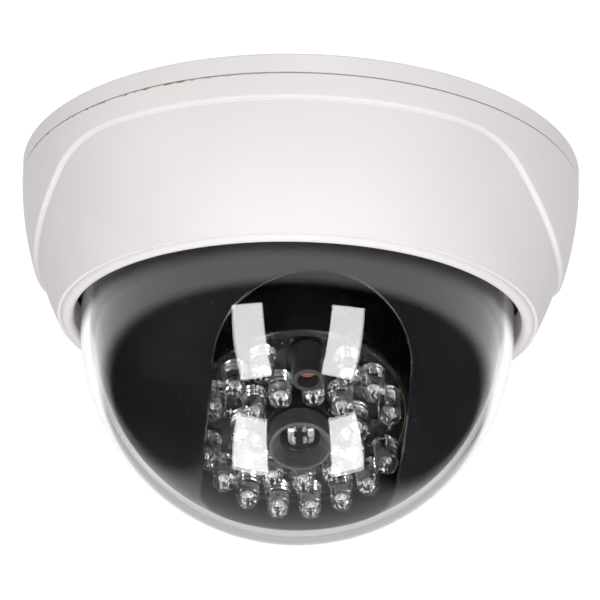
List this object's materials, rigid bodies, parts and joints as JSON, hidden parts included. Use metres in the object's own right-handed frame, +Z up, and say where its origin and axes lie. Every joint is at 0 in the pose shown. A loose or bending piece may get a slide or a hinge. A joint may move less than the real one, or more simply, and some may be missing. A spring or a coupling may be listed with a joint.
{
  "type": "dome camera",
  "caption": "Ceiling dome camera with a twist-off white cover, clear dome, black slotted liner, and a pan and tilt head with a ring of clear infrared lamps and a focusing lens.",
  "frame": {"origin": "centre of the ceiling mounting face, on the camera's axis", "axes": "+Z up into the ceiling along the dome's axis, -Y towards the cover's front panel, ears on +X and -X"},
  "size_m": [0.128, 0.128, 0.0864],
  "materials": {
    "black_abs": "moulded, slightly glossy",
    "black_board": "glossy black solder mask",
    "capacitor_can": "brushed can",
    "chip_black": "moulded epoxy",
    "clear_dome": "polished clear polycarbonate",
    "filter_glass": "coated glass",
    "gloss_black_liner": "polished black",
    "green_board": "solder mask",
    "lamp_epoxy": "clear epoxy",
    "lead_jacket": "grey jacket",
    "lens_black": "black anodised",
    "lens_glass": "coated glass",
    "nylon_washer": "natural nylon",
    "resistor_ceramic": "glazed chip",
    "rubber_black": "matt",
    "screw_steel": "zinc plated",
    "sensor_ceramic": "coated ceramic",
    "sensor_glass": "cover glass",
    "sleeve_black": "satin tube",
    "socket_nylon": "natural nylon",
    "tinned_lead": "tinned",
    "white_abs": "fine moulded satin",
    "white_abs_cover": "fine moulded satin"
  },
  "bodies": {
    "base": {"base_plate": "white_abs", "cable_grommet": "rubber_black", "main_board": "green_board", "main_board_chips": "chip_black", "main_board_capacitors": "capacitor_can", "main_board_socket": "socket_nylon", "main_board_screws": "screw_steel", "pan_friction_ring": "rubber_black", "pan_retainer": "black_abs", "pan_retainer_screws": "screw_steel", "camera_lead_base": "lead_jacket"},
    "cover": {"cover_shell": "white_abs_cover", "dome": "clear_dome", "dome_gasket": "rubber_black", "dome_retainer": "black_abs", "dome_retainer_screws": "screw_steel"},
    "pan": {"pan_frame": "black_abs", "liner": "gloss_black_liner", "camera_lead_pan": "lead_jacket"},
    "head": {"camera_head": "black_abs", "tilt_screw": "screw_steel", "tilt_washers": "nylon_washer", "lamp_board": "black_board", "board_resistors": "resistor_ceramic", "outer_lamps": "lamp_epoxy", "inner_lamps": "lamp_epoxy", "lamp_leads": "tinned_lead", "photocell_sleeve": "sleeve_black", "photocell": "sensor_ceramic", "sensor_board": "green_board", "image_sensor": "sensor_glass", "infrared_filter": "filter_glass", "lens_holder": "black_abs", "sensor_board_screws": "screw_steel", "lens_holder_screws": "screw_steel", "lens_grub_screw": "screw_steel", "camera_lead_head": "lead_jacket", "camera_lead_plug": "socket_nylon", "board_header": "chip_black"},
    "lens": {"lens_barrel": "lens_black", "lens_cone": "lens_black", "front_glass": "lens_glass", "rear_glass": "lens_glass"}
  },
  "joints": [
    {"name": "cover_twist", "type": "hinge", "parent": "base", "child": "cover", "pos_m": [0, 0, -0.01], "axis": [0, 0, 1], "range_deg": [0, 22]},
    {"name": "pan_turn", "type": "hinge", "parent": "base", "child": "pan", "pos_m": [0, 0, -0.014], "axis": [0, 0, 1], "range_deg": [-184, 164]},
    {"name": "tilt", "type": "hinge", "parent": "pan", "child": "head", "pos_m": [0, 0, -0.0475], "axis": [-0.9848, -0.1736, 0], "range_deg": [-41, 39]},
    {"name": "focus_turn", "type": "hinge", "parent": "head", "child": "lens", "pos_m": [0, 0, -0.0475], "axis": [0.0902, -0.5116, -0.8545], "range_deg": [-180, 180]}
  ]
}
